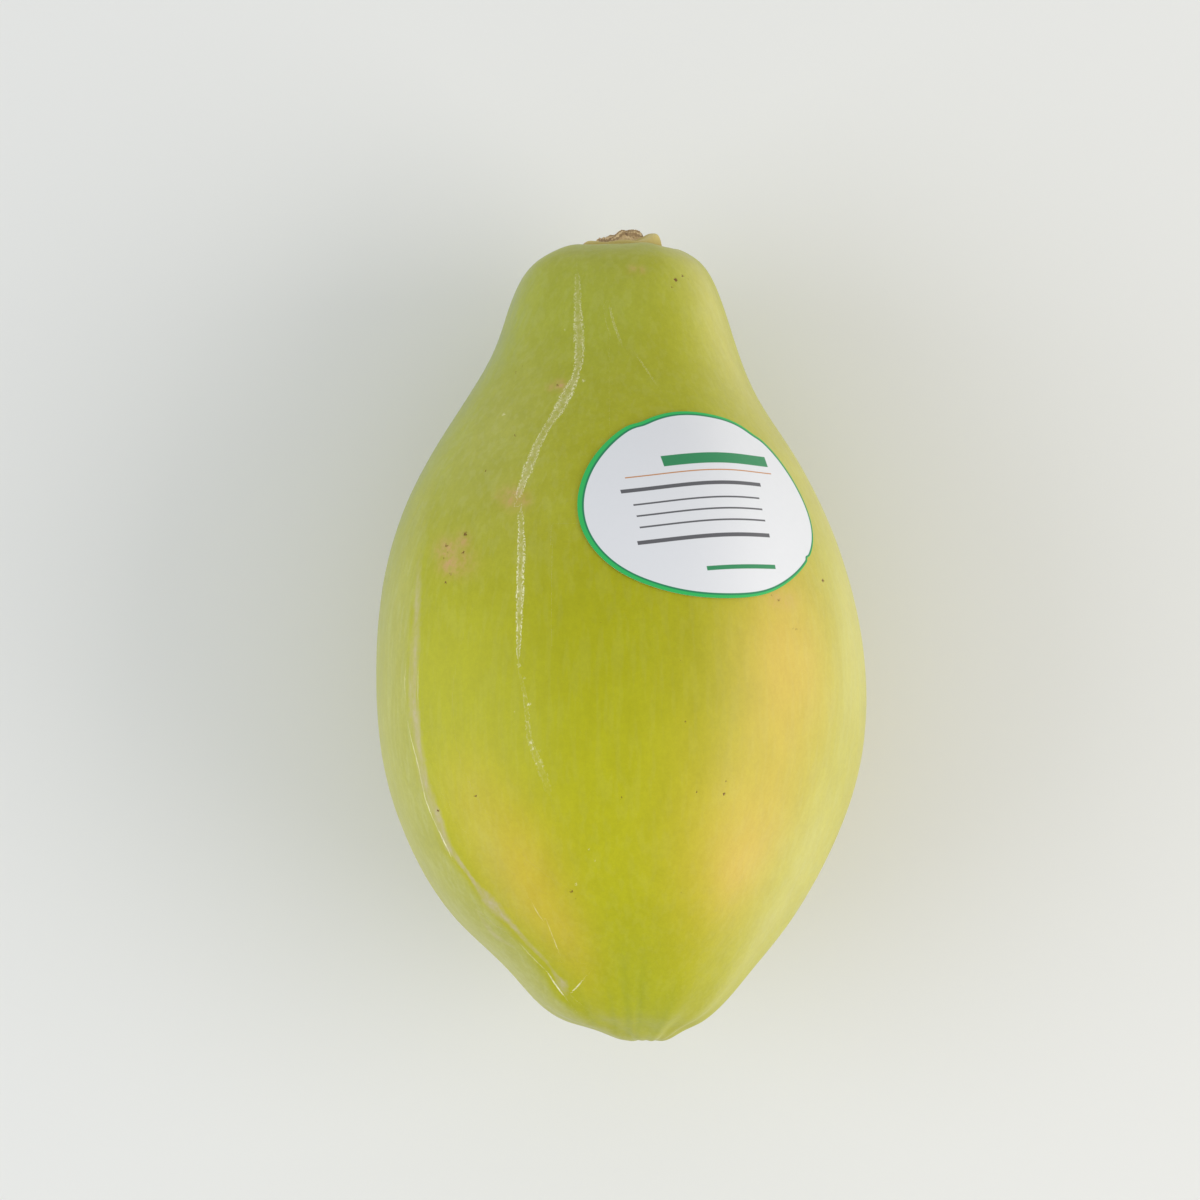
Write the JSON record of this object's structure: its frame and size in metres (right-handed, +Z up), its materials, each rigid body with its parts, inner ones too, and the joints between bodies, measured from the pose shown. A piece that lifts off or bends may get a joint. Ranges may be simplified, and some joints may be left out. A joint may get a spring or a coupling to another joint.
{
  "type": "papaya",
  "caption": "Small green-yellow papaya lying on its side, with a narrow neck, low rounded ribs, the dry stub of its stalk and an oval paper label on its shoulder",
  "frame": {"origin": "in the plane of the flat spot that the fruit lies on, under the middle of the object's box", "axes": "+Z up, +Y towards the stem end, -Y towards the blossom end, +X towards the side that carries the label"},
  "size_m": [0.0832, 0.1383, 0.0816],
  "materials": {
    "papaya_skin": "satin",
    "dry_stalk": "matte",
    "label_paper": "satin"
  },
  "bodies": {
    "root": {"papaya_fruit": "papaya_skin", "stem_stub": "dry_stalk", "label": "label_paper"}
  },
  "joints": []
}
